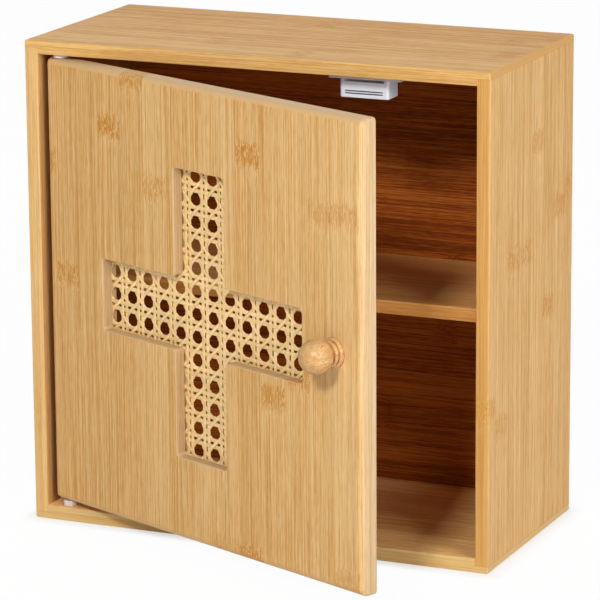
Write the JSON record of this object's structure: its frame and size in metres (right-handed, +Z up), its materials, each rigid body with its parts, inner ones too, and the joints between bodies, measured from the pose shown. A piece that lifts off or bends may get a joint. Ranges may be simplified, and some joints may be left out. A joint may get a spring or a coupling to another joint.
{
  "type": "medicine cabinet",
  "caption": "Square bamboo medicine cabinet with a shelf, keyhole wall hangers, and an inset door on pivot pins with a cane-filled cross, turned ball knob and magnetic catch.",
  "frame": {"origin": "centre of the underside of the case", "axes": "+X to the right as seen from the front, +Y to the wall at the back, +Z up"},
  "size_m": [0.32, 0.2758, 0.32],
  "materials": {
    "bamboo": "satin-lacquered laminated bamboo, straight grain with node marks",
    "bamboo_back": "lacquered bamboo, level grain, darker in the shade of the case",
    "bamboo_trim": "thin sanded bamboo strip",
    "turned_wood": "turned and lacquered hardwood",
    "dowel_wood": "plain peg wood",
    "cane": "woven natural cane, semi-gloss on the outer skin",
    "white_plastic": "moulded white plastic",
    "plated_steel": "zinc-plated steel",
    "screw_steel": "zinc-plated steel fasteners",
    "ferrite": "pressed dark ferrite"
  },
  "bodies": {
    "cabinet": {"top_panel": "bamboo", "bottom_panel": "bamboo", "left_side_panel": "bamboo", "right_side_panel": "bamboo", "shelf": "bamboo", "back_panel": "bamboo_back", "carcass_dowels": "dowel_wood", "shelf_dowels": "dowel_wood", "catch_housing": "white_plastic", "upper_pivot_bush": "white_plastic", "lower_pivot_bush": "white_plastic", "upper_pole_plate": "plated_steel", "lower_pole_plate": "plated_steel", "left_hanger_plate": "plated_steel", "right_hanger_plate": "plated_steel", "catch_screws": "screw_steel", "hanger_screws": "screw_steel", "back_brads": "screw_steel", "catch_magnet": "ferrite"},
    "door": {"door_panel": "bamboo", "cane_webbing": "cane", "cane_retainer": "bamboo_trim", "retainer_brads": "screw_steel", "knob": "turned_wood", "knob_screw": "screw_steel", "upper_pivot_pin": "plated_steel", "lower_pivot_pin": "plated_steel", "strike_plate": "plated_steel", "strike_screw": "screw_steel"}
  },
  "joints": [
    {"name": "door_hinge", "type": "hinge", "parent": "cabinet", "child": "door", "pos_m": [-0.1379, -0.06775, 0.16], "axis": [0, 0, -1], "range_deg": [-23.2, 91.8]}
  ]
}
